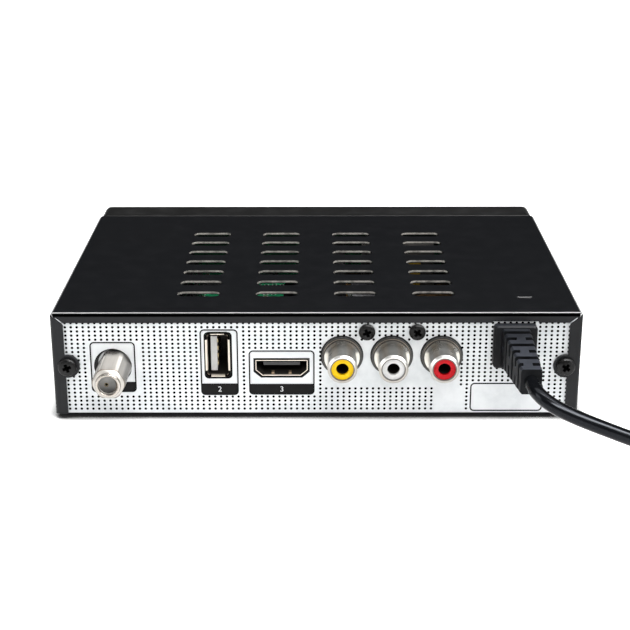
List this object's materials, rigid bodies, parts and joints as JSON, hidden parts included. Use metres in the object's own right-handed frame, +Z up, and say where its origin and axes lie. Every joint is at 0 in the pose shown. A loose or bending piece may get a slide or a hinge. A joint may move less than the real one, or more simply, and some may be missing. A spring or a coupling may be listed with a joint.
{
  "type": "satellite television receiver",
  "caption": "Flat set-top receiver: black sheet cover with slot vents, dotted silver rear panel with aerial, serial, video and three phono ports, fixed mains lead, sprung front buttons.",
  "frame": {"origin": "centre of the case and its connectors in plan, on the surface that the feet stand on", "axes": "+X to the right of the front panel, +Y out of the rear panel, +Z up"},
  "size_m": [0.2697, 0.1518, 0.032],
  "materials": {
    "cover_paint": "satin black baked paint",
    "tray_steel": "zinc-plated sheet",
    "front_plastic": "polished black",
    "window_plastic": "smoked, clear gloss",
    "button_plastic": "satin black",
    "foot_rubber": "matt",
    "board_green": "lacquered glass-fibre board",
    "board_brown": "paper phenolic board",
    "black_plastic": "moulded",
    "white_plastic": "moulded",
    "plated": "bright nickel",
    "tin_plate": "tinned sheet",
    "contact_metal": "gold flash",
    "sink_metal": "extruded, black anodised",
    "screw_black": "black zinc",
    "screw_steel": "zinc",
    "jack_yellow": "moulded",
    "jack_white": "moulded",
    "jack_red": "moulded",
    "cord_vinyl": "soft vinyl, gloss",
    "relief_vinyl": "soft vinyl, satin",
    "plug_vinyl": "moulded",
    "ferrite": "sintered",
    "winding_tape": "polyester tape",
    "glass_tube": "clear",
    "wire_insulation": "vinyl"
  },
  "bodies": {
    "case": {"aerial_connector": "plated", "aerial_contact": "contact_metal", "aerial_insulator": "white_plastic", "board_screws": "screw_steel", "bulk_capacitor": "black_plastic", "chassis": "tray_steel", "cover_screws": "screw_black", "display_window": "window_plastic", "foot_front_left": "foot_rubber", "foot_front_right": "foot_rubber", "foot_rear_left": "foot_rubber", "foot_rear_right": "foot_rubber", "front_board": "board_green", "front_panel": "front_plastic", "fuse": "glass_tube", "hdmi_shell": "plated", "hdmi_tongue": "black_plastic", "heat_sink": "sink_metal", "ir_receiver": "black_plastic", "jack_block": "black_plastic", "jack_contacts": "contact_metal", "jack_insulator_red": "jack_red", "jack_insulator_white": "jack_white", "jack_insulator_yellow": "jack_yellow", "jack_screws": "screw_black", "jack_shell_red": "plated", "jack_shell_white": "plated", "jack_shell_yellow": "plated", "led_display": "black_plastic", "main_board": "board_green", "mains_choke": "ferrite", "mains_header": "white_plastic", "mains_wires": "wire_insulation", "memory_chips": "black_plastic", "output_capacitors": "black_plastic", "plug_body": "plug_vinyl", "plug_pins": "plated", "power_board": "board_brown", "power_cord": "cord_vinyl", "power_cord_coil": "cord_vinyl", "power_cord_tail": "cord_vinyl", "processor_chip": "black_plastic", "ribbon_cable": "white_plastic", "ribbon_headers": "white_plastic", "status_led": "jack_red", "strain_relief": "relief_vinyl", "supply_cable": "wire_insulation", "supply_headers": "white_plastic", "tact_switches": "black_plastic", "top_cover": "cover_paint", "transformer_core": "ferrite", "transformer_winding": "winding_tape", "tuner_can": "tin_plate", "usb_contacts": "contact_metal", "usb_shell": "plated", "usb_tongue": "white_plastic"},
    "channel_down_button": {"channel_down_button": "button_plastic"},
    "channel_up_button": {"channel_up_button": "button_plastic"},
    "standby_button": {"standby_button": "button_plastic"}
  },
  "joints": [
    {"name": "channel_down_button_press", "type": "slide", "parent": "case", "child": "channel_down_button", "axis": [0, 1, 0], "range_m": [0, 0.0006], "stiffness_N_per_m": 900},
    {"name": "channel_up_button_press", "type": "slide", "parent": "case", "child": "channel_up_button", "axis": [0, 1, 0], "range_m": [0, 0.0006], "stiffness_N_per_m": 900},
    {"name": "standby_button_press", "type": "slide", "parent": "case", "child": "standby_button", "axis": [0, 1, 0], "range_m": [0, 0.0006], "stiffness_N_per_m": 900}
  ]
}
